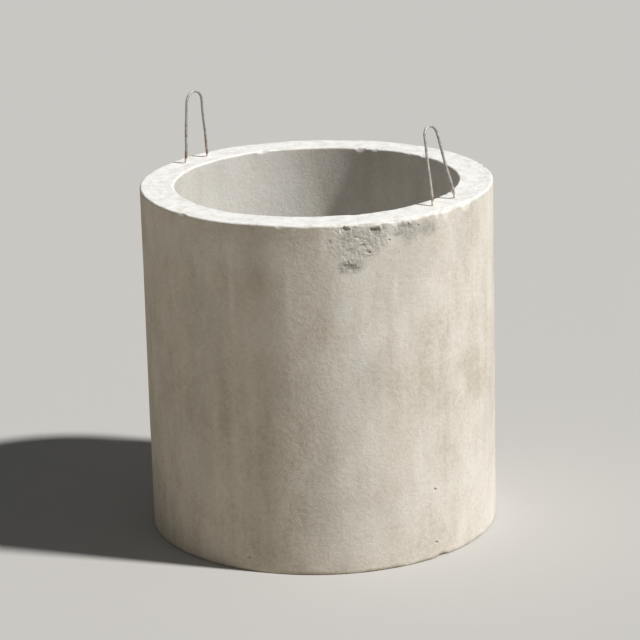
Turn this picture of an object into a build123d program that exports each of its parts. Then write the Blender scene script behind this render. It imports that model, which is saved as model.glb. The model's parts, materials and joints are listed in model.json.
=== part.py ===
from build123d import *

import os
from math import acos, atan2, cos, hypot, radians, sin

# A concrete ring for sewer shafts and culverts, standing on its end, with two wire loops to lift it by.
# Millimetres. The origin is the centre of the bottom face, +Z runs up the bore, and -Y is the front.

# Concrete ring
bore_diameter = 800.0
wall_thickness = 100.0
ring_height = 1000.0
top_arris_radius = 6.0
bottom_arris_radius = 4.0

# Wire of both lifting loops, and how it sits in the concrete
wire_diameter = 8.0
cast_in_depth = 220.0
rim_bend_radius = 26.0
loop_azimuth = 50.5  # degrees round from the front towards +X, for the right loop; the left one is opposite

# Each loop was bent and pulled by hand, so they differ.
# The width is between the legs where they leave the rim, the rise runs from the rim to the top of the bend,
# both on the wire's centre line, and the lean is in degrees from upright towards the bore.
right_loop_width = 100.0
right_loop_crown_radius = 28.0
right_loop_rise = 210.0
right_loop_lean = 13.0

left_loop_width = 95.0
left_loop_crown_radius = 33.0
left_loop_rise = 201.0
left_loop_lean = -0.5

# Worked out from the above
bore_radius = bore_diameter / 2
mid_wall_radius = bore_radius + wall_thickness / 2


def lifting_loop(width, crown_radius, rise, lean, azimuth):
    """A wire hairpin with its legs cast into the middle of the wall."""
    # In the loop's own plane, u runs along the rim and v up the loop from the rim. Each leg is the straight
    # line from its foot that just touches the crown's arc.
    foot_u = width / 2
    crown_centre_v = rise - crown_radius
    foot_to_centre = hypot(foot_u, crown_centre_v)
    leg_angle = acos(crown_radius / foot_to_centre) - atan2(crown_centre_v, foot_u)
    touch_u = crown_radius * cos(leg_angle)
    touch_v = crown_centre_v + crown_radius * sin(leg_angle)

    def above_rim(u, v):
        return Vector(u, -mid_wall_radius + v * sin(radians(lean)), ring_height + v * cos(radians(lean)))

    def leg(side):
        end = Vector(side * foot_u, -mid_wall_radius, ring_height - cast_in_depth)
        foot = above_rim(side * foot_u, 0)
        touch = above_rim(side * touch_u, touch_v)
        return FilletPolyline(end, foot, touch, radius=rim_bend_radius)

    crown = ThreePointArc(
        above_rim(-touch_u, touch_v),
        above_rim(0, rise),
        above_rim(touch_u, touch_v),
    )
    path = Wire(leg(-1).edges() + crown.edges() + leg(1).edges())
    section = Plane(origin=path @ 0, z_dir=path % 0) * Circle(wire_diameter / 2)
    return Rot(0, 0, azimuth) * sweep(section, path=path)


def concrete_ring(cast_in):
    """The cast ring: one wall with rounded arrises, and the holes that the cast-in wires fill."""
    wall = Plane.XZ * Pos(mid_wall_radius, ring_height / 2) * Rectangle(wall_thickness, ring_height)
    wall = fillet(wall.vertices().group_by(Axis.Z)[-1], top_arris_radius)
    wall = fillet(wall.vertices().group_by(Axis.Z)[0], bottom_arris_radius)
    ring = revolve(wall, Axis.Z)
    for wire in cast_in:
        ring = ring - wire
    return ring


right_loop = lifting_loop(
    right_loop_width,
    right_loop_crown_radius,
    right_loop_rise,
    right_loop_lean,
    loop_azimuth,
)
left_loop = lifting_loop(
    left_loop_width,
    left_loop_crown_radius,
    left_loop_rise,
    left_loop_lean,
    loop_azimuth + 180,
)

nodes = {
    "concrete_ring": concrete_ring([right_loop, left_loop]),
    "lifting_loop_right": right_loop,
    "lifting_loop_left": left_loop,
}

os.makedirs("parts", exist_ok=True)
for name, shape in nodes.items():
    export_step(shape, f"parts/{name}.step")
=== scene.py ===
import json
import math

import bmesh
import bpy
import numpy as np
from mathutils import Euler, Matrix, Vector


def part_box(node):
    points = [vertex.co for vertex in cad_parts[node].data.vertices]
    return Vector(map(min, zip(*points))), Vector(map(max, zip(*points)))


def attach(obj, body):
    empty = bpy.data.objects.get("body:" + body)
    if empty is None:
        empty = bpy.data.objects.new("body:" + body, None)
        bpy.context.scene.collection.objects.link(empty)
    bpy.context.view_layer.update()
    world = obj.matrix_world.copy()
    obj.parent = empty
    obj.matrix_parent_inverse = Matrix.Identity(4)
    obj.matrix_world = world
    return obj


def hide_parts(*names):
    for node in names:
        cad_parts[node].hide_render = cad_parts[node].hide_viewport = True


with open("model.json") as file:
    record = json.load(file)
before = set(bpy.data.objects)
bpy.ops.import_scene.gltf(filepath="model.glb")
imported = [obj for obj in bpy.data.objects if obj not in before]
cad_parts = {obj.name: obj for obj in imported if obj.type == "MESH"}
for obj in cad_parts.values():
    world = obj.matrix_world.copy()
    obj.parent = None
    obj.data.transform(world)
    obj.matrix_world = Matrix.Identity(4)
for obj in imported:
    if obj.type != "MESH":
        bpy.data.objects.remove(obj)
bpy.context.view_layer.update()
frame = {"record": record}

mounts = {mount["name"]: mount for mount in frame["record"]["mounts"]}

# Sizes in metres. The ring's come from the frame. Azimuths are degrees round from the front, -Y, towards +X.
OUTER_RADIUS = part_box("concrete_ring")[1].x
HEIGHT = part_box("concrete_ring")[1].z
BORE_RADIUS = mounts["bore"]["dims"]["r_mm"] / 1000
MID_WALL_RADIUS = (OUTER_RADIUS + BORE_RADIUS) / 2
TOP_ARRIS = 0.006
BOTTOM_ARRIS = 0.004

# The casting's faults, each a mean that varies from place to place
RIM_DIP = 0.0024
DIP_FADES_BELOW = 0.080
FORM_EASE = 0.0012
ARRIS_WEAR = 0.0026
WORN_SIDE_WEAR = 0.0034
MORTAR_HEIGHT = 0.0030

BAR_RADIUS = 0.004
CAST_IN_DEPTH = 0.22
RIM_BEND_RADIUS = 0.026
LOOP_AZIMUTH = 50.5

# Each loop's sizes, with the seed of its bends and how far the rust colours spread over it, which makes the
# left loop darker and browner
LOOPS = {
    "lifting_loop_right": dict(
        azimuth=LOOP_AZIMUTH,
        width=0.100,
        crown=0.028,
        rise=0.210,
        lean=13.0,
        seed=3,
        dark_brown_spread=0.010,
    ),
    "lifting_loop_left": dict(
        azimuth=LOOP_AZIMUTH - 180,
        width=0.095,
        crown=0.033,
        rise=0.201,
        lean=-0.5,
        seed=8,
        dark_brown_spread=0.085,
    ),
}

# Marks on the outside, each an ellipse: azimuth, how far its middle is below the rim, half its width and
# half its height
ROUGH_PATCH = [
    (12.0, 0.058, 0.085, 0.056),
    (25.0, 0.034, 0.070, 0.030),
    (9.5, 0.118, 0.034, 0.022),
]
# Grey smears. Those at 8.5, 10.0 and 18.2 degrees lie on spalls and are painted shade in them; the others
# are grey stains.
GREY_SMEARS_AND_SPALL_SHADE = [
    (29.5, 0.042, 0.040, 0.034),
    (37.0, 0.044, 0.036, 0.020),
    (18.2, 0.030, 0.027, 0.018),
    (10.0, 0.122, 0.036, 0.018),
    (8.5, 0.018, 0.024, 0.013),
]
PALE_MARKS = [
    (22.8, 0.042, 0.011, 0.034),
    (1.5, 0.060, 0.009, 0.036),
    (5.0, 0.052, 0.006, 0.030),
    (4.5, 0.178, 0.007, 0.032),
    (24.5, 0.195, 0.008, 0.046),
    (-9.5, 0.170, 0.009, 0.090),
    (-28.5, 0.195, 0.010, 0.110),
]

# Broad faint blooms of lime, as marks, each with its strength. They fade out past their edge.
BLOOMS = [
    ((-29.0, 0.085, 0.200, 0.058), 0.66),
    ((12.0, 0.240, 0.075, 0.300), 0.40),
]

# The middle of the side whose arris is worn most
WORN_AZIMUTH = math.radians(30)

# Shallow spalls in the rough patch, as marks, each with how deep it goes
SPALLS = [
    ((8.6, 0.018, 0.014, 0.009), 0.0046),
    ((17.9, 0.028, 0.018, 0.012), 0.0056),
    ((9.6, 0.124, 0.019, 0.012), 0.0018),
    ((13.5, 0.068, 0.014, 0.010), 0.0020),
    ((28.5, 0.030, 0.020, 0.011), 0.0020),
]

# Air holes in the rough patch: azimuth, depth below the rim, radius
PATCH_HOLES = [
    (33.0, 0.030, 0.0036),
    (16.0, 0.086, 0.0034),
    (3.6, 0.047, 0.0030),
    (22.6, 0.058, 0.0034),
    (11.5, 0.040, 0.0028),
]


def wrapped(difference, period):
    """The difference less whole periods, between minus and plus half of one."""
    return difference - period * np.round(difference / period)


def turned(angle, centre):
    """The angle from centre to angle, from -pi to pi."""
    return wrapped(angle - centre, 2 * math.pi)


def smooth(value, low, high):
    """0 below low, 1 above high, and 3t^2 - 2t^3 between."""
    t = np.clip((value - low) / (high - low), 0, 1)
    return t * t * (3 - 2 * t)


def lattice(cell, seed):
    """A repeatable number from 0 to 1 for each whole-numbered point: its coordinates are multiplied by large
    odd numbers, added and their bits mixed."""
    n = cell[..., 0] * 374761393 + cell[..., 1] * 668265263 + cell[..., 2] * 1440662683 + seed * 97531
    n = n & 0xFFFFFFFF
    n = ((n ^ (n >> 13)) * 1274126177) & 0xFFFFFFFF
    return ((n ^ (n >> 16)) & 0xFFFFFF) / 0xFFFFFF


def noise(points, size, seed, octaves=1):
    """Smooth noise from -1 to 1 with lumps about size across: random values at a lattice's corners, blended
    along each axis by 3t^2 - 2t^3. Each further octave has half the size and half the strength."""
    total, strength = 0.0, 0.0
    for octave in range(octaves):
        scaled = points * 2**octave / size + 100.0
        low = np.floor(scaled).astype(np.int64)
        t = scaled - low
        t = t * t * (3 - 2 * t)
        value = 0.0
        for corner in np.ndindex(2, 2, 2):
            weight = np.prod(np.where(np.array(corner) == 1, t, 1 - t), axis=-1)
            value = value + weight * lattice(low + np.array(corner), seed + octave)
        total = total + (2 * value - 1) / 2**octave
        strength = strength + 1 / 2**octave
    return total / strength


def stones(u, v, size, seed):
    """Cells about size across on a flat sheet: one jittered point a cell, and for each place the distance to
    the nearest one, in cell sizes."""
    scaled = np.stack([u, v], axis=-1) / size + 500.0
    home = np.floor(scaled).astype(np.int64)
    nearest = np.full(len(u), 9.0)
    for step in np.ndindex(3, 3):
        cell = home + np.array(step) - 1
        key = np.concatenate([cell, np.zeros((len(u), 1), np.int64)], axis=1)
        point = cell + np.stack([lattice(key, seed), lattice(key, seed + 1)], axis=1)
        nearest = np.minimum(nearest, np.hypot(*(scaled - point).T))
    return nearest


def wall_section():
    """The wall's outline, closed: up the outside, over the rim, down the bore and back under, as straight
    runs joined by quarter arcs. Gives the length along it at each of its points, which are close together on
    the arcs, then r, z and the outward normal there, and the lengths at which the arcs start and end."""
    arcs = [
        (OUTER_RADIUS - TOP_ARRIS, HEIGHT - TOP_ARRIS, TOP_ARRIS, 0),
        (BORE_RADIUS + TOP_ARRIS, HEIGHT - TOP_ARRIS, TOP_ARRIS, 90),
        (BORE_RADIUS + BOTTOM_ARRIS, BOTTOM_ARRIS, BOTTOM_ARRIS, 180),
        (OUTER_RADIUS - BOTTOM_ARRIS, BOTTOM_ARRIS, BOTTOM_ARRIS, 270),
    ]
    rows = [(OUTER_RADIUS, BOTTOM_ARRIS, 1.0, 0.0)]
    for centre_r, centre_z, radius, start in arcs:
        for angle in np.radians(np.linspace(start, start + 90, 17)):
            normal = (math.cos(angle), math.sin(angle))
            rows.append((centre_r + radius * normal[0], centre_z + radius * normal[1], *normal))
    table = np.array(rows)
    length = np.concatenate([[0], np.cumsum(np.hypot(*np.diff(table[:, :2], axis=0).T))])
    ends = length[1:].reshape(4, 17)[:, [0, -1]]
    return length, table, ends


SECTION_LENGTH, SECTION, ARCS = wall_section()
SECTION_TOTAL = SECTION_LENGTH[-1]
TOP_OUTER_ARC, TOP_BORE_ARC, FOOT_BORE_ARC, FOOT_OUTER_ARC = ARCS


def section_at(s):
    """r, z and the outward normal at lengths along the section."""
    return [np.interp(s % SECTION_TOTAL, SECTION_LENGTH, SECTION[:, k]) for k in range(4)]


def random_chips(count, seed):
    """Chips round one arris: the angle, half the length, how deep the corner is cut and the cut's slope."""
    draw = np.random.default_rng(seed)
    angle = draw.uniform(-math.pi, math.pi, count)
    size = draw.uniform(0, 1, count) ** 2.6
    reach = 0.006 + 0.022 * size
    depth = 0.0030 + 0.0060 * size * draw.uniform(0.5, 1, count)
    slope = np.radians(draw.uniform(28, 62, count))
    return np.stack([angle, reach, depth, slope], axis=1)


def random_holes(count, seed, low, high):
    """Air holes between two heights on a wall, or two radii on the rim: the angle, the height or radius, and
    the hole's own radius."""
    draw = np.random.default_rng(seed)
    angle = draw.uniform(-math.pi, math.pi, count)
    place = draw.uniform(low, high, count)
    radius = 0.0018 + 0.0030 * draw.uniform(0, 1, count) ** 3
    return np.stack([angle, place, radius], axis=1)


OUTER_CHIPS = random_chips(34, seed=11)
CHIP_BY_RIGHT_LOOP = (math.radians(65), 0.012, 0.009, math.radians(48))
BORE_CHIPS = np.concatenate([random_chips(26, seed=12), [CHIP_BY_RIGHT_LOOP]])
FOOT_CHIPS = random_chips(22, seed=13)
LOWEST_HOLE, HIGHEST_HOLE = 0.03, HEIGHT - 0.04
HOLE_TO_ARRIS = 0.012
OUTER_HOLES = np.concatenate([
    [(math.radians(azimuth), HEIGHT - depth, radius) for azimuth, depth, radius in PATCH_HOLES],
    random_holes(30, 21, LOWEST_HOLE, HIGHEST_HOLE),
])
BORE_HOLES = random_holes(22, 22, LOWEST_HOLE, HIGHEST_HOLE)
RIM_HOLES = random_holes(26, 23, BORE_RADIUS + HOLE_TO_ARRIS, OUTER_RADIUS - HOLE_TO_ARRIS)


def ellipse_distance(t, z, mark):
    """How far each place on the outside is from a mark's middle, where 1 is on the mark's edge."""
    azimuth, depth, across, down = mark
    around = turned(t, math.radians(azimuth)) * OUTER_RADIUS
    return np.hypot(around / across, (z - HEIGHT + depth) / down)


def nearest_mark(t, z, marks):
    """The least of the distances to the marks."""
    return np.min([ellipse_distance(t, z, mark) for mark in marks], axis=0)


def bloom_strength(t, z):
    """The strongest of the blooms at each place. Each is its strength times exp(-d^2), d being the distance
    to its middle."""
    blooms = [strength * np.exp(-(ellipse_distance(t, z, mark) ** 2)) for mark, strength in BLOOMS]
    return np.max(blooms, axis=0)


def loop_feet():
    """Where the bars leave the rim, as points in plan."""
    feet = []
    for loop in LOOPS.values():
        for side in (-1, 1):
            a = math.radians(loop["azimuth"])
            across = side * loop["width"] / 2
            feet.append((
                MID_WALL_RADIUS * math.sin(a) + across * math.cos(a),
                -MID_WALL_RADIUS * math.cos(a) + across * math.sin(a),
            ))
    return np.array(feet)


FEET = loop_feet()


def foot_distance(x, y):
    """How far each point is in plan from the nearest bar's foot."""
    return np.min([np.hypot(x - foot[0], y - foot[1]) for foot in FEET], axis=0)


def hole_depth(t, along, face_radius, holes, ragged):
    """Round-bottomed holes, a little longer round the ring than across: each is deepest in the middle, as
    0.75 times its radius times (1 - (d/radius)^2)^0.6. Ragged stretches the distance d from place to
    place."""
    depth = np.zeros(len(t))
    for angle, place, radius in holes:
        near = np.flatnonzero(np.abs(along - place) < 2 * radius)
        across, down = turned(t[near], angle) * face_radius / 1.15, (along[near] - place) * 1.15
        away = np.hypot(across, down) / radius * ragged[near]
        depth[near] = np.maximum(depth[near], 0.75 * radius * np.clip(1 - away**2, 0, 1) ** 0.6)
    return depth


def spall_depth(t, z, ragged):
    """Shallow dents where a lump came away, steeper at the top: each is its depth times (1 - d^2)^0.8 times
    (1 + 0.5 v) deep, d being the distance from its middle and v the height above it, both 1 at its edge.
    Ragged stretches d from place to place."""
    depth = np.zeros(len(t))
    for mark, deepest in SPALLS:
        away = ellipse_distance(t, z, mark) * ragged
        above = np.clip((z - HEIGHT + mark[1]) / mark[3], -1, 1)
        depth = np.maximum(depth, deepest * np.clip(1 - away**2, 0, 1) ** 0.8 * (1 + 0.5 * above))
    return depth


def broken_edge(t, r, z, corner, side, chips, worn):
    """How far points beside a corner move, along r and z, and how deep the cut is there. A worn arris is cut
    back by a plane across the corner, and each chip by a plane that is deepest at the chip's middle."""
    out_r, out_z = (r - corner[0]) * side[0], (z - corner[1]) * side[1]
    beside = (out_r > -0.03) & (out_z > -0.03)
    diagonal = math.sqrt(0.5)
    cut = np.maximum(0, (out_r + out_z) * diagonal + worn) * beside
    along_r, along_z = cut * diagonal, cut * diagonal
    arris_radius = float(np.mean(corner[0]))
    for angle, reach, depth, slope in chips:
        near = np.flatnonzero(beside & (np.abs(turned(t, angle)) * arris_radius < reach))
        along = turned(t[near], angle) * arris_radius / reach
        chip = out_r[near] * math.cos(slope) + out_z[near] * math.sin(slope) + depth * (1 - along**2)
        deeper = chip > cut[near]
        near, chip = near[deeper], chip[deeper]
        along_r[near], along_z[near] = chip * math.cos(slope), chip * math.sin(slope)
        cut[near] = chip
    return -side[0] * along_r, -side[1] * along_z, cut


def ring_surface(t, s):
    """The ring's face at angle t and length s along the wall's section. The section is turned round the
    axis, then weathered inwards: an uneven floated rim, slightly untrue walls, worn and chipped arrises, the
    rough patch under the rim and air holes. Gives the points and the masks that the finish is painted by."""
    r, z, normal_r, normal_z = section_at(s)
    x, y = r * np.sin(t), -r * np.cos(t)
    place = np.stack([x, y, z], axis=1)
    plan = np.stack([x, y, np.zeros(len(t))], axis=1)
    outside = smooth(r, MID_WALL_RADIUS, OUTER_RADIUS - TOP_ARRIS)
    bore_side = 1 - smooth(r, BORE_RADIUS + TOP_ARRIS, MID_WALL_RADIUS)
    top = smooth(z, HEIGHT - DIP_FADES_BELOW, HEIGHT - TOP_ARRIS)

    # The rim was struck off and floated by hand, so it dips and swells
    dip = RIM_DIP + 0.0022 * noise(plan, 0.15, 31, 2) + 0.0008 * noise(plan, 0.035, 32, 2)
    dip = np.clip(dip, 0, 1) + 0.00030 * (1 + noise(plan, 0.012, 33)) * smooth(normal_z, 0.3, 0.9)
    z = z - dip * top

    # The form was a little untrue
    ease = FORM_EASE + 0.0010 * noise(place, 0.42, 34) + 0.0004 * noise(place, 0.11, 35)
    ease = np.clip(ease, 0, 1)
    r = r - ease * outside + ease * bore_side

    # Worn and chipped arrises: top outside, top inside and bottom outside. The front right is worn most.
    worn_side = smooth(np.cos(t - WORN_AZIMUTH), 0.76, 0.94)
    wear = ARRIS_WEAR + 0.0010 * noise(place, 0.08, 36, 2) + 0.0005 * noise(place, 0.012, 37)
    outer_wear = wear + worn_side * (WORN_SIDE_WEAR + WORN_SIDE_WEAR * noise(place, 0.026, 40, 2))
    ragged = 1 + 0.35 * noise(place, 0.010, 38, 2)
    corners = [
        (OUTER_RADIUS - ease, HEIGHT - dip * top, (1, 1), OUTER_CHIPS, outer_wear),
        (BORE_RADIUS + ease, HEIGHT - dip * top, (-1, 1), BORE_CHIPS, wear),
        (OUTER_RADIUS - ease, 0.0, (1, -1), FOOT_CHIPS, wear),
    ]
    chipped = np.zeros(len(t))
    for corner_r, corner_z, side, chips, worn in corners:
        move_r, move_z, cut = broken_edge(t, r, z, (corner_r, corner_z), side, chips, worn)
        r = r + move_r * ragged
        z = z + move_z * ragged
        chipped = np.maximum(chipped, smooth(cut, 0.0010, 0.0032))

    # The rough patch: the skin is thin there, lumps of stone stand out and the paste between them is low
    edge = nearest_mark(t, z, ROUGH_PATCH) + 0.42 * noise(place, 0.030, 39, 3)
    on_outside = smooth(normal_r, 0.5, 0.9)
    patch = smooth(-edge, -1.20, -0.45) * on_outside
    around = t * OUTER_RADIUS
    lumps = smooth(stones(around, z, 0.0105, 41), 0.25, 0.85) * smooth(noise(place, 0.024, 44), -0.3, 0.5)
    lows = smooth(noise(place, 0.013, 45, 3), -0.1, 0.6)
    crumbs = np.abs(noise(place, 0.0055, 48, 2))
    rough = patch * (0.0003 + 0.0012 * lumps + 0.0013 * lows + 0.0011 * crumbs)
    uneven = 1 + 0.65 * noise(place, 0.009, 42, 2)
    spalls = spall_depth(t, z, uneven) * on_outside * (1 + 0.3 * noise(place, 0.006, 49, 2))
    rough = rough + spalls

    # Air holes
    holes = hole_depth(t, z, OUTER_RADIUS, OUTER_HOLES, uneven) * on_outside
    holes = holes + hole_depth(t, z, BORE_RADIUS, BORE_HOLES, uneven) * smooth(-normal_r, 0.5, 0.9)
    holes = holes + 0.6 * hole_depth(t, r, MID_WALL_RADIUS, RIM_HOLES, uneven) * smooth(normal_z, 0.5, 0.9)
    r = r - normal_r * (rough + holes)
    z = z - normal_z * (rough + holes)

    # A little mortar stands round each bar where it leaves the rim
    collar = foot_distance(x, y)
    mound = MORTAR_HEIGHT * np.exp(-((collar / 0.011) ** 2)) - 0.0012 * np.exp(-((collar / 0.03) ** 2))
    z = z + top * smooth(normal_z, 0.5, 0.9) * mound

    # On the worn side the rim's pale paste ran a little way down in tongues
    tongue = 0.004 + 0.040 * np.clip(noise(plan, 0.020, 47, 2), 0, 1)
    runs = smooth(tongue - (HEIGHT - z), -0.005, 0.004) * worn_side * on_outside

    soft = 0.5 * noise(place, 0.020, 46, 3)
    pale_marks = smooth(-nearest_mark(t, z, PALE_MARKS) - soft, -1.5, -0.1)
    masks = {
        "rim": smooth(normal_z, 0.15, 0.8) * top,
        "bore": bore_side,
        "chipped": chipped,
        "rough": patch,
        # Painted shade: darker the deeper the holes, spalls and rough patch lie
        "hollow_shade": np.clip((holes + 0.45 * rough) / 0.004, 0, 1),
        # Grey smears, partly painted shade in the spalls
        "smear_and_shade": smooth(-nearest_mark(t, z, GREY_SMEARS_AND_SPALL_SHADE) - soft, -1.4, -0.3) * on_outside,
        "pale": np.maximum(0.6 * pale_marks, runs) * on_outside,
        "bloom": bloom_strength(t, z) * on_outside,
        "rust": np.exp(-((collar / 0.012) ** 2)) * smooth(soft, -0.3, 0.3) * top,
    }
    return np.stack([r * np.sin(t), -r * np.cos(t), z], axis=1), masks


# The longest edges of the ring's mesh where nothing makes them shorter
WALL_EDGE = 0.038
RIM_EDGE = 0.010


def beyond(s, arc):
    """How far along the section each place is from an arc, 0 on it."""
    middle, half = np.mean(arc), (arc[1] - arc[0]) / 2
    return np.maximum(0, np.abs(wrapped(s - middle, SECTION_TOTAL)) - half)


def growing(shortest, growth, distance):
    """An edge length that grows with the distance past a limit: shortest + growth * distance."""
    return shortest + growth * np.maximum(0, distance)


def longest_edge(t, s):
    """How long the ring's mesh may have its edges at each place: short on the top arrises, in the rough
    patch, in air holes and at the bars' feet, longer on the rim, and longest on the plain walls."""
    r, z, normal_r, normal_z = section_at(s)
    on_rim = normal_z > 0.5
    longest = np.where(on_rim, RIM_EDGE, WALL_EDGE)
    arcs = [
        (TOP_OUTER_ARC, 0.0037, 0.50, 0.005),
        (TOP_BORE_ARC, 0.0042, 0.50, 0.004),
        (FOOT_OUTER_ARC, 0.0100, 0.60, 0.0),
        (FOOT_BORE_ARC, 0.0160, 0.60, 0.0),
    ]
    for arc, shortest, growth, even in arcs:
        longest = np.minimum(longest, growing(shortest, growth, beyond(s, arc) - even))

    spalls = [mark for mark, deepest in SPALLS]
    off_worn_side = 0.80 - np.cos(t - WORN_AZIMUTH)
    on_marks = np.minimum.reduce([
        growing(0.0032, 0.02, nearest_mark(t, z, ROUGH_PATCH) - 1.25),
        growing(0.0023, 0.002, nearest_mark(t, z, spalls) - 1.3),
        growing(0.0060, 0.02, nearest_mark(t, z, PALE_MARKS + GREY_SMEARS_AND_SPALL_SHADE) - 1.5),
        growing(0.0055, 0.04, off_worn_side) + growing(0.0, 0.5, HEIGHT - z - 0.045),
    ])
    upper_outside = (normal_r > 0.5) & (z > 0.5)
    longest = np.where(upper_outside, np.minimum(longest, on_marks), longest)

    collar = foot_distance(r * np.sin(t), -r * np.cos(t))
    longest = np.where(on_rim, np.minimum(longest, growing(0.0032, 0.4, collar - 0.014)), longest)

    faces = [
        (OUTER_HOLES, normal_r > 0.5, OUTER_RADIUS, z),
        (BORE_HOLES, normal_r < -0.5, BORE_RADIUS, z),
        (RIM_HOLES, on_rim, MID_WALL_RADIUS, r),
    ]
    for holes, face, face_radius, along in faces:
        for angle, place, radius in holes:
            near = np.flatnonzero(face & (np.abs(along - place) < 0.02))
            away = np.hypot(turned(t[near], angle) * face_radius, along[near] - place) - 1.25 * radius
            shortest = min(0.42 * radius, 0.0021)
            longest[near] = np.minimum(longest[near], growing(shortest, 0.8, away))
    return longest


def cut_long_edges(t, s, triangles):
    """One round of cutting on the sheet of angle t by section length s, which closes on itself both ways.
    Every edge that is too long is halved, and so is the longest edge of each triangle it belongs to, so that
    all cuts meet. Each triangle is then split from the middle of its longest edge."""
    ends = np.sort(np.stack([triangles, np.roll(triangles, -1, axis=1)], axis=2).reshape(-1, 2), axis=1)
    keys, side_edge = np.unique(ends[:, 0] * len(t) + ends[:, 1], return_inverse=True)
    side_edge = side_edge.reshape(-1, 3)
    first, last = keys // len(t), keys % len(t)
    half_t, half_s = turned(t[last], t[first]) / 2, wrapped(s[last] - s[first], SECTION_TOTAL) / 2
    middle_t, middle_s = t[first] + half_t, (s[first] + half_s) % SECTION_TOTAL
    length = 2 * np.hypot(half_t * section_at(middle_s)[0], half_s)
    cut = length > longest_edge(middle_t, middle_s)

    main_side = length[side_edge].argmax(axis=1)
    main_edge = side_edge[np.arange(len(triangles)), main_side]
    touched = cut[side_edge].any(axis=1)
    while not cut[main_edge[touched]].all():
        cut[main_edge[touched]] = True
        touched = cut[side_edge].any(axis=1)

    order = (main_side[:, None] + np.arange(3)) % 3
    corners = np.take_along_axis(triangles, order, axis=1)[touched]
    sides = np.take_along_axis(side_edge, order, axis=1)[touched]
    a, b, c = corners.T
    middle = len(t) + np.cumsum(cut) - 1
    ab, bc, ca = middle[sides].T
    bc_cut, ca_cut = cut[sides[:, 1]], cut[sides[:, 2]]
    pieces = [
        triangles[~touched],
        np.stack([a, ab, c], axis=1)[~ca_cut],
        np.stack([a, ab, ca], axis=1)[ca_cut],
        np.stack([ca, ab, c], axis=1)[ca_cut],
        np.stack([ab, b, c], axis=1)[~bc_cut],
        np.stack([ab, b, bc], axis=1)[bc_cut],
        np.stack([ab, bc, c], axis=1)[bc_cut],
    ]
    return np.concatenate([t, middle_t[cut]]), np.concatenate([s, middle_s[cut]]), np.concatenate(pieces)


def ring_sheet():
    """The closed sheet of angle by section length that the ring is shaped from, as triangles: an even grid,
    with lines where the arcs start and end, cut until no edge is too long."""
    columns = 144
    wall_steps, rim_steps, arc_steps = 34, 4, 2
    stops = np.concatenate([[0], ARCS.ravel()])
    steps = [wall_steps, arc_steps, rim_steps, arc_steps] * 2
    stretches = zip(stops[:-1], stops[1:], steps)
    rows = np.concatenate([np.linspace(a, b, n, endpoint=False) for a, b, n in stretches])
    t, s = np.meshgrid(np.linspace(-math.pi, math.pi, columns, endpoint=False), rows)
    row, column = np.meshgrid(np.arange(len(rows)), np.arange(columns), indexing="ij")
    here, right = row * columns + column, row * columns + (column + 1) % columns
    up = (row + 1) % len(rows) * columns
    above, above_right = up + column, up + (column + 1) % columns
    lower = np.stack([here, right, above_right], axis=-1).reshape(-1, 3)
    upper = np.stack([here, above_right, above], axis=-1).reshape(-1, 3)
    t, s, triangles = t.ravel(), s.ravel(), np.concatenate([lower, upper])
    count = 0
    while len(t) != count:
        count = len(t)
        t, s, triangles = cut_long_edges(t, s, triangles)
    return t, s, triangles


def mesh_object(name, points, faces):
    """A smooth-shaded object of these points and faces, at the origin, linked to the scene."""
    mesh = bpy.data.meshes.new(name)
    mesh.from_pydata(points, [], faces)
    mesh.shade_smooth()
    piece = bpy.data.objects.new(name, mesh)
    bpy.context.scene.collection.objects.link(piece)
    return piece


def add_mask(piece, name, values):
    """Stores a value for each point of the piece, for its material to read."""
    attribute = piece.data.attributes.new(name, "FLOAT", "POINT")
    attribute.data.foreach_set("value", values.astype(np.float32))


def make_ring():
    """The cast ring as one closed mesh, with its masks as attributes of its points."""
    t, s, triangles = ring_sheet()
    points, masks = ring_surface(t, s)
    ring = mesh_object("concrete_ring_cast", points, triangles)
    for name, values in masks.items():
        add_mask(ring, name, values)
    return ring


def bend(before, corner, after, radius, count=9):
    """Points on the arc of that radius that joins the run before-corner to the run corner-after."""
    first = (corner - before) / np.linalg.norm(corner - before)
    second = (after - corner) / np.linalg.norm(after - corner)
    half = math.acos(np.clip(first @ second, -1, 1)) / 2
    inward = (second - first) / np.linalg.norm(second - first)
    centre = corner + inward * radius / math.cos(half)
    along = (first + second) / np.linalg.norm(first + second)
    turn = np.linspace(-half, half, count)[:, None]
    return centre + radius * (np.sin(turn) * along - np.cos(turn) * inward)


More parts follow.
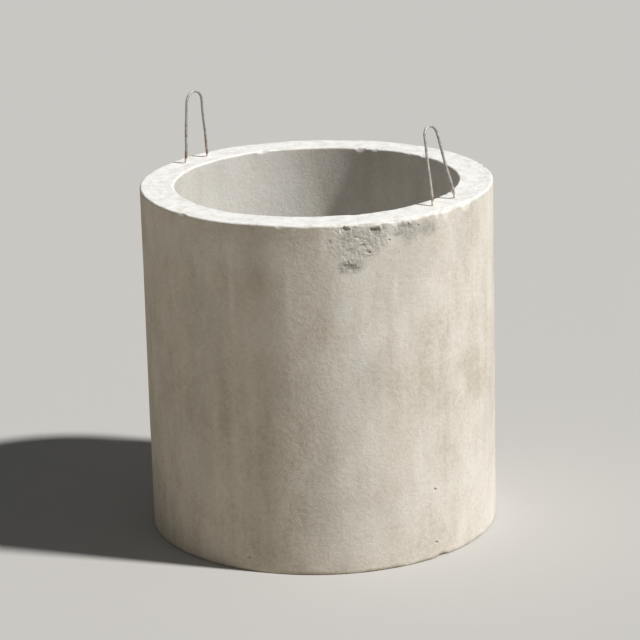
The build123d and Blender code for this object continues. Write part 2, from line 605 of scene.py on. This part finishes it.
def loop_line(loop):
    """The bar's centre line: up out of the wall, bent at the rim, a straight leg that just touches the
    crown's arc, over the arc and down the other side. It is worked out at the front, then turned to its
    azimuth. Also gives the direction across the loop's own plane."""
    foot_u, crown_v = loop["width"] / 2, loop["rise"] - loop["crown"]
    leg_angle = math.acos(loop["crown"] / math.hypot(foot_u, crown_v)) - math.atan2(crown_v, foot_u)
    touch_u = loop["crown"] * math.cos(leg_angle)
    touch_v = crown_v + loop["crown"] * math.sin(leg_angle)
    lean = math.radians(loop["lean"])

    def above_rim(u, v):
        """The point u along the rim and v up the loop's own plane."""
        return np.array([u, -MID_WALL_RADIUS + v * math.sin(lean), HEIGHT + v * math.cos(lean)])

    def leg(side):
        """One leg, from its buried end to where it touches the crown."""
        end = np.array([side * foot_u, -MID_WALL_RADIUS, HEIGHT - CAST_IN_DEPTH])
        foot, touch = above_rim(side * foot_u, 0), above_rim(side * touch_u, touch_v)
        arc = bend(end, foot, touch, RIM_BEND_RADIUS)
        buried = end + np.linspace(0, 1, 12, endpoint=False)[:, None] * (arc[0] - end)
        open_run = arc[-1] + np.linspace(0, 1, 41)[1:, None] * (touch - arc[-1])
        return np.concatenate([buried, arc, open_run])

    sweep = np.linspace(leg_angle, math.pi - leg_angle, 49)[1:-1]
    arc_u, arc_v = loop["crown"] * np.cos(sweep), crown_v + loop["crown"] * np.sin(sweep)
    crown = np.array([above_rim(u, v) for u, v in zip(arc_u, arc_v)])
    line = np.concatenate([leg(1), crown, leg(-1)[::-1]])
    turn = math.radians(loop["azimuth"])
    spin = np.array([[math.cos(turn), -math.sin(turn), 0], [math.sin(turn), math.cos(turn), 0], [0, 0, 1]])
    return line @ spin.T, spin @ np.array([0, math.cos(lean), -math.sin(lean)])


# How many sides the bar's circle has, how far the bar waves in the loop's plane and across it, and how deep
# its dents are on average
BAR_SIDES = 20
WAVE_IN_PLANE = 0.0011
WAVE_ACROSS = 0.0013
BAR_DENT = 0.00012


def make_loop(name, loop):
    """A bent round bar: a circle carried along the loop's line, with the bar's slight waves and dents."""
    line, across = loop_line(loop)
    length = np.concatenate([[0], np.cumsum(np.linalg.norm(np.diff(line, axis=0), axis=1))])
    free = smooth(line[:, 2], HEIGHT + 0.004, HEIGHT + 0.05)
    free = free * smooth(np.abs(length - length[-1] / 2), loop["crown"] * 1.2, loop["crown"] * 2.6)
    waves = np.stack([length, np.full(len(length), loop["seed"]), np.zeros(len(length))], axis=1)
    tangent = np.gradient(line, axis=0)
    tangent = tangent / np.linalg.norm(tangent, axis=1)[:, None]
    side = np.cross(tangent, across)
    side = side / np.linalg.norm(side, axis=1)[:, None]
    front = np.cross(side, tangent)
    line = line + side * (WAVE_IN_PLANE * noise(waves, 0.06, 51) * free)[:, None]
    line = line + front * (WAVE_ACROSS * noise(waves, 0.08, 52) * free)[:, None]

    sides = BAR_SIDES
    turn = np.linspace(0, 2 * math.pi, sides, endpoint=False)
    circle = np.cos(turn)[None, :, None] * side[:, None, :] + np.sin(turn)[None, :, None] * front[:, None, :]
    points = line[:, None, :] + BAR_RADIUS * circle
    dents = noise(points.reshape(-1, 3), 0.004, 53, 2).reshape(points.shape[:2])
    points = points - circle * (BAR_DENT * (1 + dents))[:, :, None]

    count = len(line)
    start = np.arange(count - 1)[:, None] * sides
    here, there = np.arange(sides), (np.arange(sides) + 1) % sides
    walls = np.stack([start + here, start + there, start + sides + there, start + sides + here], axis=-1)
    ends = [list(range(sides))[::-1], list(range((count - 1) * sides, count * sides))]
    bar_piece = mesh_object(name + "_bar", points.reshape(-1, 3), walls.reshape(-1, 4).tolist() + ends)
    built = bmesh.new()
    built.from_mesh(bar_piece.data)
    bmesh.ops.recalc_face_normals(built, faces=built.faces)
    built.to_mesh(bar_piece.data)
    built.free()
    add_mask(bar_piece, "dark_brown_spread", np.full(count * sides, loop["dark_brown_spread"]))
    return bar_piece


def add_node(tree, kind, inputs=None, **settings):
    """A node with its settings, and its inputs set to values or joined to other nodes' outputs."""
    node = tree.nodes.new(kind)
    for name, value in settings.items():
        setattr(node, name, value)
    for name, value in (inputs or {}).items():
        join(tree, value, node.inputs[name])
    return node


def join(tree, value, socket):
    """Links an output to the socket, or sets the socket to a plain value."""
    if isinstance(value, bpy.types.NodeSocket):
        tree.links.new(value, socket)
    else:
        socket.default_value = value


def new_material(name):
    """A material with an empty node tree."""
    material = bpy.data.materials.new(name)
    material.use_nodes = True
    material.node_tree.nodes.clear()
    return material, material.node_tree


def calculate(tree, operation, a, b=0.0):
    """One step of arithmetic."""
    return add_node(tree, "ShaderNodeMath", {0: a, 1: b}, operation=operation).outputs[0]


def weighted_sum(tree, *terms):
    """The sum of value times weight over the (value, weight) pairs."""
    total = calculate(tree, "MULTIPLY", *terms[0])
    for value, weight in terms[1:]:
        step = add_node(tree, "ShaderNodeMath", {0: value, 1: weight, 2: total}, operation="MULTIPLY_ADD")
        total = step.outputs[0]
    return total


def ramp(tree, value, low, high, to_low=0.0, to_high=1.0):
    """The value taken from low..high to to_low..to_high, smoothly and no further."""
    node = add_node(
        tree,
        "ShaderNodeMapRange",
        {"Value": value, "From Min": low, "From Max": high, "To Min": to_low, "To Max": to_high},
        interpolation_type="SMOOTHSTEP",
    )
    return node.outputs["Result"]


def mix(tree, factor, a, b):
    """Colour a at a factor of 0, b at 1."""
    node = add_node(tree, "ShaderNodeMix", data_type="RGBA", clamp_factor=True)
    for index, value in ((0, factor), (6, a), (7, b)):
        join(tree, value, node.inputs[index])
    return node.outputs[2]


def noise_node(tree, vector, scale, detail=3.0, roughness=0.55, distortion=0.0):
    """Noise about 0.5. Scale is how many lumps there are to a unit of the coordinates."""
    node = add_node(
        tree,
        "ShaderNodeTexNoise",
        {
            "Vector": vector,
            "Scale": scale,
            "Detail": detail,
            "Roughness": roughness,
            "Distortion": distortion,
        },
    )
    return node.outputs["Fac"]


def stretched(tree, vector, scale, offset=(0.0, 0.0, 0.0)):
    """The coordinates scaled along each axis and moved, which stretches a pattern and shows another part of
    it."""
    node = add_node(tree, "ShaderNodeMapping", {"Vector": vector, "Location": offset, "Scale": scale})
    return node.outputs["Vector"]


def specks_group():
    """Small round holes or grains: 1 inside them and 0 outside, on only a share of the cells of a jittered
    grid."""
    group = bpy.data.node_groups.new("specks", "ShaderNodeTree")
    for name, default in (("Cells", 60.0), ("Size", 0.18), ("Share", 0.5)):
        socket = group.interface.new_socket(name=name, in_out="INPUT", socket_type="NodeSocketFloat")
        socket.default_value = default
    group.interface.new_socket(name="Vector", in_out="INPUT", socket_type="NodeSocketVector")
    group.interface.new_socket(name="Mask", in_out="OUTPUT", socket_type="NodeSocketFloat")
    start = group.nodes.new("NodeGroupInput").outputs
    end = group.nodes.new("NodeGroupOutput").inputs
    cells = add_node(group, "ShaderNodeTexVoronoi", {"Vector": start["Vector"], "Scale": start["Cells"]})
    split = add_node(group, "ShaderNodeSeparateColor", {"Color": cells.outputs["Color"]})
    chosen = calculate(group, "LESS_THAN", split.outputs[0], start["Share"])
    size = calculate(group, "MULTIPLY", start["Size"], ramp(group, split.outputs[1], 0.0, 1.0, 0.45, 1.0))
    inside = ramp(group, cells.outputs["Distance"], size, calculate(group, "MULTIPLY", size, 0.6))
    join(group, calculate(group, "MULTIPLY", inside, chosen), end["Mask"])
    return group


SPECKS = specks_group()


def specks(tree, vector, cells, size, share):
    """Specks on a share of the cells. Cells is how many there are to the metre, and size is in cells."""
    node = add_node(tree, "ShaderNodeGroup", node_tree=SPECKS)
    for name, value in (("Vector", vector), ("Cells", cells), ("Size", size), ("Share", share)):
        join(tree, value, node.inputs[name])
    return node.outputs["Mask"]


def around_the_rim(tree, place):
    """Coordinates in which a pattern runs round the ring: far apart along the radius, which wanders a
    little, and close together round it."""
    split = add_node(tree, "ShaderNodeSeparateXYZ", {0: place})
    x, y = split.outputs["X"], split.outputs["Y"]
    flat = add_node(tree, "ShaderNodeCombineXYZ", {0: x, 1: y})
    length = add_node(tree, "ShaderNodeVectorMath", {0: flat.outputs[0]}, operation="LENGTH")
    radius = length.outputs["Value"]
    wander = noise_node(tree, place, 9.0, 2.0)
    across = weighted_sum(tree, (radius, 130.0), (wander, 5.0))
    round_it = [calculate(tree, "MULTIPLY", calculate(tree, "DIVIDE", side, radius), 6.0) for side in (x, y)]
    return add_node(tree, "ShaderNodeCombineXYZ", {0: round_it[0], 1: round_it[1], 2: across}).outputs[0]


def attribute_value(tree, name):
    """A mask that was stored on the piece's points."""
    node = add_node(tree, "ShaderNodeAttribute", attribute_name=name, attribute_type="GEOMETRY")
    return node.outputs["Fac"]


def bump_normal(tree, relief_in_mm):
    """The normal of a surface with that relief."""
    bump = add_node(tree, "ShaderNodeBump", {"Strength": 1.0, "Distance": 0.001, "Height": relief_in_mm})
    return bump.outputs["Normal"]


# Colours of dry concrete, linear
SKIN_PALE = (0.790, 0.752, 0.690, 1)
SKIN_MID = (0.700, 0.656, 0.584, 1)
SKIN_DARK = (0.560, 0.512, 0.440, 1)
SKIN_GREY = (0.590, 0.572, 0.528, 1)
SKIN_BROWN = (0.610, 0.535, 0.440, 1)
# Painted shade: the cool, darker grey of the shade inside the bore
BORE_SHADE_GREY = (0.640, 0.636, 0.604, 1)
RIM_PALE = (0.885, 0.870, 0.825, 1)
RIM_DUSTY = (0.745, 0.722, 0.668, 1)
STONE_GREY = (0.570, 0.555, 0.525, 1)
STONE_MAUVE = (0.545, 0.510, 0.500, 1)
# Grey of the smears, and of the painted shade in the spalls
SMEAR_AND_SHADE_GREY = (0.330, 0.328, 0.300, 1)
SAND_DARK = (0.290, 0.262, 0.215, 1)
# The colour of the painted shade in holes and hollows
HOLE_SHADE = (0.150, 0.138, 0.120, 1)
RUST_STAIN = (0.400, 0.230, 0.120, 1)


def cement_skin(tree, place, blotches, pebbles):
    """The colour of the cement skin: clouds, blotches and drips of tone, greyer and browner areas, a greyer
    bore that is painted shade, the cool grey of the shade inside it, and the faint blooms."""
    clouds = noise_node(tree, place, 2.8, 4.0, 0.55)
    drips = noise_node(tree, stretched(tree, place, (1, 1, 0.06), (2.1, 5.4, 0.3)), 24.0, 3.0, 0.55)
    tone = weighted_sum(tree, (clouds, 0.30), (blotches, 0.29), (drips, 0.16), (pebbles, 0.25))
    colour = mix(tree, ramp(tree, tone, 0.38, 0.51), SKIN_DARK, SKIN_MID)
    colour = mix(tree, ramp(tree, tone, 0.48, 0.60), colour, SKIN_PALE)
    greyer = noise_node(tree, stretched(tree, place, (1, 1, 0.4), (0.7, 6.1, 9.9)), 6.5, 3.0, 0.55)
    colour = mix(tree, ramp(tree, greyer, 0.52, 0.72, 0.0, 0.42), colour, SKIN_GREY)
    browner = noise_node(tree, stretched(tree, place, (1, 1, 0.5), (3.7, 8.2, 2.6)), 5.0, 3.0, 0.5)
    colour = mix(tree, ramp(tree, browner, 0.54, 0.74, 0.0, 0.36), colour, SKIN_BROWN)
    # Painted shade: the bore is made greyer and darker, as its shaded inside looks
    colour = mix(tree, calculate(tree, "MULTIPLY", attribute_value(tree, "bore"), 0.45), colour, BORE_SHADE_GREY)
    cloudy = ramp(tree, blotches, 0.40, 0.62, 0.65, 1.30)
    return mix(tree, calculate(tree, "MULTIPLY", attribute_value(tree, "bloom"), cloudy), colour, RIM_PALE)


def rim_paste(tree, place, colour, rim, float_marks):
    """The rim carries more paste and is paler, with faint marks of the float round it."""
    rim_tone = noise_node(tree, place, 26.0, 5.0, 0.68)
    rim_tone = weighted_sum(tree, (rim_tone, 0.78), (float_marks, 0.22))
    rim_colour = mix(tree, ramp(tree, rim_tone, 0.38, 0.56), RIM_DUSTY, RIM_PALE)
    return mix(tree, calculate(tree, "MULTIPLY", rim, 0.95), colour, rim_colour)


def sand_and_stones(tree, place, colour, rim, sand):
    """Sand and small stones that show through, the darkest less so on the rim, where the paste covers them.
    Gives the colour, and the grains that stand out or lie low."""
    bare = ramp(tree, rim, 0.0, 1.0, 1.0, 0.55)
    dark_sand = specks(tree, place, 380.0, 0.42, 0.20)
    pale_sand = specks(tree, stretched(tree, place, (1, 1, 1), (1.3, 6.8, 3.1)), 340.0, 0.42, 0.22)
    dark_stones = specks(tree, place, 140.0, 0.36, 0.16)
    pale_stones = specks(tree, stretched(tree, place, (1, 1, 1), (4.4, 2.2, 7.7)), 120.0, 0.36, 0.14)
    fine_grains = ramp(tree, sand, 0.54, 0.72, 0.0, 0.34)
    grains = calculate(tree, "MAXIMUM", fine_grains, calculate(tree, "MULTIPLY", dark_sand, 0.42))
    colour = mix(tree, calculate(tree, "MULTIPLY", grains, bare), colour, SAND_DARK)
    colour = mix(tree, calculate(tree, "MULTIPLY", pale_sand, 0.45), colour, RIM_PALE)
    colour = mix(tree, calculate(tree, "MULTIPLY", dark_stones, 0.30), colour, STONE_GREY)
    colour = mix(tree, calculate(tree, "MULTIPLY", pale_stones, 0.45), colour, RIM_PALE)
    return colour, dark_sand, pale_sand, pale_stones


def broken_and_marked(tree, place, colour, chipped, rough, grit):
    """Broken stone in chips and in the rough patch, then the smears, which on the spalls are painted shade,
    pale runs and rust stains.
    """
    stone_tone = noise_node(tree, place, 95.0, 4.0, 0.75)
    stone = mix(tree, ramp(tree, stone_tone, 0.36, 0.50), STONE_MAUVE, STONE_GREY)
    stone = mix(tree, ramp(tree, stone_tone, 0.50, 0.66), stone, SKIN_PALE)
    stone = mix(tree, ramp(tree, grit, 0.54, 0.68, 0.0, 0.40), stone, SAND_DARK)
    dusty_chip = mix(tree, ramp(tree, stone_tone, 0.35, 0.60), STONE_GREY, RIM_DUSTY)
    smear_strength = ramp(tree, stone_tone, 0.38, 0.60, 0.80, 0.34)
    layers = [
        (chipped, 0.60, dusty_chip),
        (rough, 0.66, stone),
        # The smears: grey stains, and painted shade in the spalls
        (attribute_value(tree, "smear_and_shade"), smear_strength, SMEAR_AND_SHADE_GREY),
        (attribute_value(tree, "pale"), 0.70, RIM_PALE),
        (attribute_value(tree, "rust"), 0.45, RUST_STAIN),
    ]
    for mask, strength, layer_colour in layers:
        colour = mix(tree, calculate(tree, "MULTIPLY", mask, strength), colour, layer_colour)
    return colour


def air_holes(tree, place, colour):
    """Painted shade in air holes, in two sizes, and in the deeper holes, spalls and low places of the rough
    patch that are in the mesh. Gives the colour, and the holes that are not in the mesh."""
    small_holes = specks(tree, place, 48.0, 0.085, 0.22)
    pin_holes = specks(tree, place, 170.0, 0.17, 0.30)
    holes = calculate(tree, "MAXIMUM", small_holes, calculate(tree, "MULTIPLY", pin_holes, 0.6))
    hollow_shade = calculate(tree, "MULTIPLY", attribute_value(tree, "hollow_shade"), 0.60)
    dark = calculate(tree, "MAXIMUM", calculate(tree, "MULTIPLY", holes, 0.55), hollow_shade)
    return mix(tree, dark, colour, HOLE_SHADE), holes


def concrete_material():
    """Bare cast concrete: a cement skin in clouds, blotches and faint drips, sand that shows through, small
    air holes, a paler floated rim, and grey stone where the skin is chipped or rough."""
    material, tree = new_material("cast_concrete")
    place = add_node(tree, "ShaderNodeTexCoord").outputs["Object"]
    rim, chipped, rough = [attribute_value(tree, name) for name in ("rim", "chipped", "rough")]
    blotches = noise_node(tree, stretched(tree, place, (1, 1, 0.55), (7.3, 1.9, 4.1)), 12.0, 4.0, 0.6, 0.4)
    pebbles = noise_node(tree, place, 80.0, 4.0, 0.70)
    sand = noise_node(tree, place, 340.0, 3.0, 0.65)
    grit = noise_node(tree, place, 240.0, 3.0, 0.75)
    float_marks = noise_node(tree, around_the_rim(tree, place), 1.0, 3.0, 0.6)

    colour = cement_skin(tree, place, blotches, pebbles)
    colour = rim_paste(tree, place, colour, rim, float_marks)
    colour, dark_sand, pale_sand, pale_stones = sand_and_stones(tree, place, colour, rim, sand)
    colour = broken_and_marked(tree, place, colour, chipped, rough, grit)
    colour, holes = air_holes(tree, place, colour)

    relief_in_mm = weighted_sum(
        tree,
        (calculate(tree, "MULTIPLY", calculate(tree, "MAXIMUM", chipped, rough), grit), 1.3),
        (calculate(tree, "MULTIPLY", rim, float_marks), 0.7),
        (pebbles, 1.35),
        (sand, 0.45),
        (blotches, 0.6),
        (dark_sand, -0.10),
        (pale_sand, 0.08),
        (pale_stones, 0.14),
        (holes, -1.0),
    )
    shader = add_node(
        tree,
        "ShaderNodeBsdfPrincipled",
        {
            "Base Color": colour,
            "Roughness": ramp(tree, pebbles, 0.3, 0.7, 0.97, 0.86),
            "Specular IOR Level": 0.25,
            "Normal": bump_normal(tree, relief_in_mm),
        },
    )
    add_node(tree, "ShaderNodeOutputMaterial", {"Surface": shader.outputs[0]})
    return material


# Colours of the loops' bar, linear
BAR_STEEL = (0.500, 0.492, 0.468, 1)
BAR_SCALE = (0.330, 0.320, 0.300, 1)
RUST_DARK = (0.165, 0.094, 0.058, 1)
RUST_PALE = (0.350, 0.222, 0.142, 1)


def bar_material():
    """Plain round bar: dull grey mill scale worn to steel, thin rust in spots and at the feet, and cement
    splashed on it where it leaves the rim. The rust colours spread further on one loop than on the other,
    which makes that loop darker and browner."""
    material, tree = new_material("plain_round_bar")
    place = add_node(tree, "ShaderNodeTexCoord").outputs["Object"]
    z = add_node(tree, "ShaderNodeSeparateXYZ", {0: place}).outputs["Z"]
    above = calculate(tree, "SUBTRACT", z, HEIGHT)
    scale_noise = noise_node(tree, place, 120.0, 4.0, 0.6)
    rust_noise = noise_node(tree, place, 42.0, 5.0, 0.65)
    colour = mix(tree, ramp(tree, scale_noise, 0.36, 0.60), BAR_SCALE, BAR_STEEL)
    low_down = ramp(tree, above, 0.060, 0.0, 0.0, 0.20)
    # How far the rust colours spread: further on the left loop, which is made darker and browner
    dark_brown_spread = attribute_value(tree, "dark_brown_spread")
    rust_growth = weighted_sum(tree, (rust_noise, 1.0), (low_down, 1.0), (dark_brown_spread, 1.0))
    rust = ramp(tree, rust_growth, 0.60, 0.78)
    rust_spots = specks(tree, place, 420.0, 0.30, 0.30)
    rust = calculate(tree, "MAXIMUM", rust, calculate(tree, "MULTIPLY", rust_spots, 0.5))
    rust_tone = noise_node(tree, place, 260.0, 3.0, 0.6)
    colour = mix(tree, rust, colour, mix(tree, ramp(tree, rust_tone, 0.35, 0.65), RUST_DARK, RUST_PALE))
    splash_edge = weighted_sum(tree, (above, 1.0), (noise_node(tree, place, 90.0, 3.0), -0.034))
    splash = ramp(tree, splash_edge, -0.004, -0.010)
    colour = mix(tree, splash, colour, SKIN_PALE)
    covered = calculate(tree, "MAXIMUM", rust, splash)
    relief_in_mm = weighted_sum(tree, (rust_noise, 0.25), (rust, 0.20), (scale_noise, 0.10))
    shader = add_node(
        tree,
        "ShaderNodeBsdfPrincipled",
        {
            "Base Color": colour,
            "Metallic": ramp(tree, covered, 0.0, 1.0, 0.30, 0.0),
            "Roughness": ramp(tree, covered, 0.0, 1.0, 0.62, 0.92),
            "Normal": bump_normal(tree, relief_in_mm),
        },
    )
    add_node(tree, "ShaderNodeOutputMaterial", {"Surface": shader.outputs[0]})
    return material


ring = make_ring()
ring.data.materials.append(concrete_material())
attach(ring, "root")
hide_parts("concrete_ring")

round_bar = bar_material()
for loop_name, loop_sizes in LOOPS.items():
    loop_piece = make_loop(loop_name, loop_sizes)
    loop_piece.data.materials.append(round_bar)
    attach(loop_piece, "root")
    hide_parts(loop_name)

# Stage: a plain pale floor, and a surround of the lit floor's own tone. What the floor throws back on the
# ring is dimmer and warmer than it looks, and the surround's own light is warm at the horizon and cooler
# overhead.
FLOOR_SIZE = 80.0
FLOOR_COLOUR = (0.535, 0.518, 0.490, 1)
FLOOR_BOUNCE = (0.430, 0.392, 0.320, 1)
SURROUND_COLOUR = (0.594, 0.579, 0.552, 1)
HORIZON_LIGHT = (1.0, 0.81, 0.62, 1)
OVERHEAD_LIGHT = (0.50, 0.60, 0.71, 1)
SURROUND_STRENGTH = 0.154


def seen_directly(tree):
    """1 for what the camera or a reflection sees, 0 for light that reaches a dull surface."""
    ray = add_node(tree, "ShaderNodeLightPath").outputs
    return calculate(tree, "MAXIMUM", ray["Is Camera Ray"], ray["Is Glossy Ray"])


def make_floor():
    """A large flat square floor at the ring's foot."""
    half = FLOOR_SIZE / 2
    corners = [(-half, -half, 0), (half, -half, 0), (half, half, 0), (-half, half, 0)]
    floor = mesh_object("floor", corners, [(0, 1, 2, 3)])
    material, tree = new_material("pale_floor")
    pale = add_node(tree, "ShaderNodeBsdfDiffuse", {"Color": FLOOR_COLOUR}).outputs[0]
    dimmer = add_node(tree, "ShaderNodeBsdfDiffuse", {"Color": FLOOR_BOUNCE}).outputs[0]
    chosen = add_node(tree, "ShaderNodeMixShader", {0: seen_directly(tree), 1: dimmer, 2: pale}).outputs[0]
    add_node(tree, "ShaderNodeOutputMaterial", {"Surface": chosen})
    floor.data.materials.append(material)


def soft_sun(name, azimuth, elevation, strength, spread, colour):
    """A broad lamp far away, which shines from that azimuth and elevation."""
    lamp = bpy.data.lights.new(name, "SUN")
    lamp.energy = strength
    lamp.angle = math.radians(spread)
    lamp.color = colour
    holder = bpy.data.objects.new(name, lamp)
    a, e = math.radians(azimuth), math.radians(elevation)
    towards = Vector((math.sin(a) * math.cos(e), -math.cos(a) * math.cos(e), math.sin(e)))
    holder.rotation_euler = towards.to_track_quat("Z", "Y").to_euler()
    bpy.context.scene.collection.objects.link(holder)


def light_the_stage():
    """A key from the right, as in the photograph, a very weak warm fill from the front left, and a dim
    surround that looks as pale as the floor."""
    soft_sun("key", azimuth=73, elevation=49, strength=4.15, spread=4, colour=(1.0, 1.0, 1.0))
    soft_sun("fill", azimuth=-40, elevation=30, strength=0.05, spread=60, colour=(1.0, 0.93, 0.85))
    world = bpy.data.worlds.new("surround")
    bpy.context.scene.world = world
    world.use_nodes = True
    tree = world.node_tree
    tree.nodes.clear()
    direction = add_node(tree, "ShaderNodeTexCoord").outputs["Generated"]
    height = add_node(tree, "ShaderNodeSeparateXYZ", {0: direction}).outputs["Z"]
    glow = mix(tree, ramp(tree, height, 0.15, 0.75), HORIZON_LIGHT, OVERHEAD_LIGHT)
    light = add_node(tree, "ShaderNodeBackground", {"Color": glow, "Strength": SURROUND_STRENGTH}).outputs[0]
    plain = add_node(tree, "ShaderNodeBackground", {"Color": SURROUND_COLOUR, "Strength": 1.0}).outputs[0]
    chosen = add_node(tree, "ShaderNodeMixShader", {0: seen_directly(tree), 1: light, 2: plain}).outputs[0]
    add_node(tree, "ShaderNodeOutputWorld", {"Surface": chosen})


def place_camera():
    """The photograph's line of sight: from the front, looking down at the rim so that its ellipse is as open
    as it is there, and rolled as it is there. It stands further off, with a longer lens, which keeps the
    walls upright."""
    rim_elevation = math.radians(14.0)
    distance = 8.0
    roll = math.radians(-1.5)
    aim = Vector((0, 0, 0.585))
    camera = bpy.data.cameras.new("camera")
    camera.sensor_width = 36
    camera.lens = 164
    camera.clip_end = 200
    holder = bpy.data.objects.new("camera", camera)
    holder.location = (0, -distance, HEIGHT + distance * math.tan(rim_elevation))
    look = (aim - holder.location).to_track_quat("-Z", "Y")
    holder.rotation_mode = "QUATERNION"
    holder.rotation_quaternion = look @ Euler((0, 0, roll)).to_quaternion()
    bpy.context.scene.collection.objects.link(holder)
    bpy.context.scene.camera = holder


make_floor()
light_the_stage()
place_camera()
bpy.context.scene.view_settings.view_transform = "Standard"
